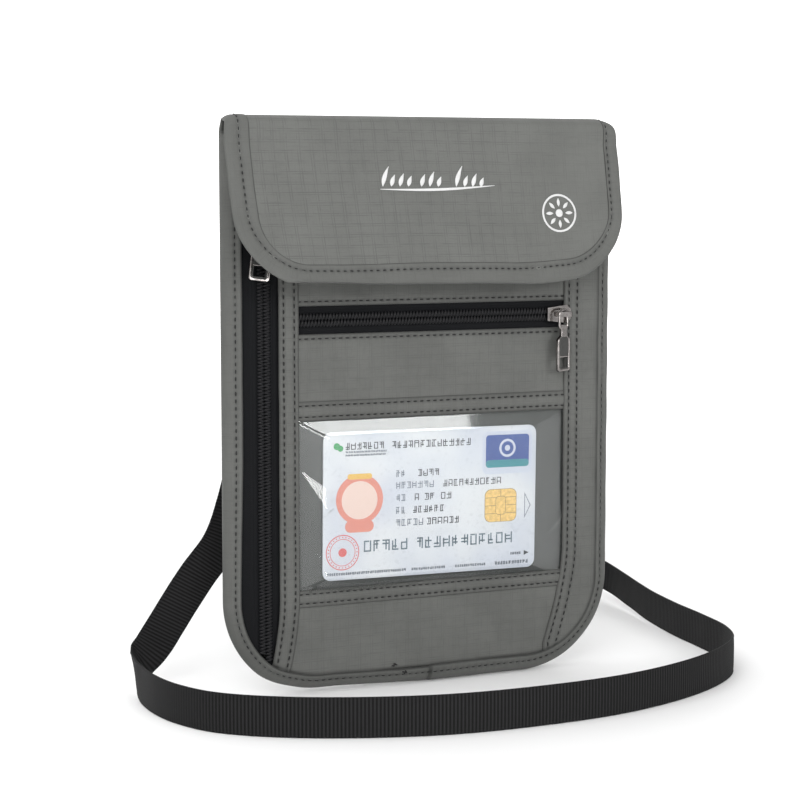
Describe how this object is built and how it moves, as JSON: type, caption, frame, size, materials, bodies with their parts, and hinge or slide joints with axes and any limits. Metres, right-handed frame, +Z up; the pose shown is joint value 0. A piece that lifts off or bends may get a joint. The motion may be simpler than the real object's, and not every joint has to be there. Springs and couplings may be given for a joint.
{
  "type": "neck pouch wallet",
  "caption": "Flat zipped neck pouch with a fold-over flap, a clear card window, a side zip, a front pocket zip and a webbing neck strap.",
  "frame": {"origin": "middle of the pouch's bottom edge, on the surface that it stands on", "axes": "+Z up along the pouch's height, -Y out of the front with the window, +X to the right as seen from the front"},
  "size_m": [0.2399, 0.1957, 0.2064],
  "materials": {
    "pouch_fabric": "grey ripstop nylon with a faint sheen",
    "binding_tape": "smooth grey woven binding",
    "pocket_fabric": "plain grey lining cloth",
    "shield_lining": "metallised grey shielding cloth",
    "zip_tape": "black herringbone zip tape",
    "zip_coil": "black nylon coil, slightly glossy",
    "gunmetal": "polished gunmetal plating",
    "window_film": "clear soft vinyl film",
    "card": "satin printed card",
    "touch_tape": "hook and loop tape",
    "webbing": "black ribbed polypropylene webbing",
    "buckle_plastic": "moulded black acetal"
  },
  "bodies": {
    "root": {"back_panel": "pouch_fabric", "rear_shield_lining": "shield_lining", "divider_shield_lining": "shield_lining", "front_pocket_lining": "pocket_fabric", "body_binding": "binding_tape", "mouth_binding": "binding_tape", "left_band": "pouch_fabric", "right_band": "pouch_fabric", "right_margin_panel": "pouch_fabric", "upper_front_panel": "pouch_fabric", "pocket_upper_panel": "pouch_fabric", "window_top_band": "pouch_fabric", "window_film": "window_film", "window_bottom_band": "pouch_fabric", "pocket_lower_panel": "pouch_fabric", "loop_tape": "touch_tape", "side_zip_tape_outer": "zip_tape", "side_zip_tape_inner": "zip_tape", "side_zip_coil_outer": "zip_coil", "side_zip_coil_inner": "zip_coil", "front_zip_tape_upper": "zip_tape", "front_zip_tape_lower": "zip_tape", "front_zip_coil_upper": "zip_coil", "front_zip_coil_lower": "zip_coil", "neck_strap": "webbing", "strap_anchor_loop": "webbing", "strap_ring": "buckle_plastic", "strap_adjuster": "buckle_plastic"},
    "fold": {"flap_fold": "pouch_fabric"},
    "flap": {"flap_outer": "pouch_fabric", "flap_lining": "shield_lining", "flap_binding": "binding_tape", "hook_tape": "touch_tape"},
    "side_slider": {"side_zip_slider": "gunmetal"},
    "side_link": {"side_zip_link": "gunmetal"},
    "side_tab": {"side_zip_tab": "gunmetal"},
    "front_slider": {"front_zip_slider": "gunmetal"},
    "front_link": {"front_zip_link": "gunmetal"},
    "front_tab": {"front_zip_tab": "gunmetal"},
    "card": {"id_card": "card"}
  },
  "joints": [
    {"name": "flap_fold_hinge", "type": "hinge", "parent": "root", "child": "fold", "pos_m": [0, 0.0054, 0.2035], "axis": [-1, 0, 0], "range_deg": [-1.8, 96]},
    {"name": "flap_hinge", "type": "hinge", "parent": "fold", "child": "flap", "pos_m": [0, -0.0042, 0.204], "axis": [-1, 0, 0], "range_deg": [-1.5, 80]},
    {"name": "side_zip_slide", "type": "slide", "parent": "root", "child": "side_slider", "axis": [0, 0, -1], "range_m": [0, 0.13]},
    {"name": "side_link_swing", "type": "hinge", "parent": "side_slider", "child": "side_link", "pos_m": [-0.0624, -0.0062, 0.1726], "axis": [-0.9925, 0, 0.1219], "range_deg": [0, 20]},
    {"name": "side_tab_swing", "type": "hinge", "parent": "side_link", "child": "side_tab", "pos_m": [-0.06329, -0.0062, 0.16535], "axis": [-0.9925, 0, 0.1219], "range_deg": [-5, 20]},
    {"name": "front_zip_slide", "type": "slide", "parent": "root", "child": "front_slider", "axis": [-1, 0, 0], "range_m": [0, 0.09]},
    {"name": "front_link_swing", "type": "hinge", "parent": "front_slider", "child": "front_link", "pos_m": [0.0542, -0.00745, 0.1355], "axis": [-1, 0, 0], "range_deg": [0, 10]},
    {"name": "front_tab_swing", "type": "hinge", "parent": "front_link", "child": "front_tab", "pos_m": [0.0542, -0.00745, 0.1299], "axis": [-0.8988, -0.4384, 0], "range_deg": [-4, 80]},
    {"name": "card_slide", "type": "slide", "parent": "root", "child": "card", "axis": [0, 0, 1], "range_m": [0, 0.03]}
  ],
  "couplings": [
    {"joint": "flap_fold_hinge", "follows": "flap_hinge", "ratio": 1.2}
  ]
}
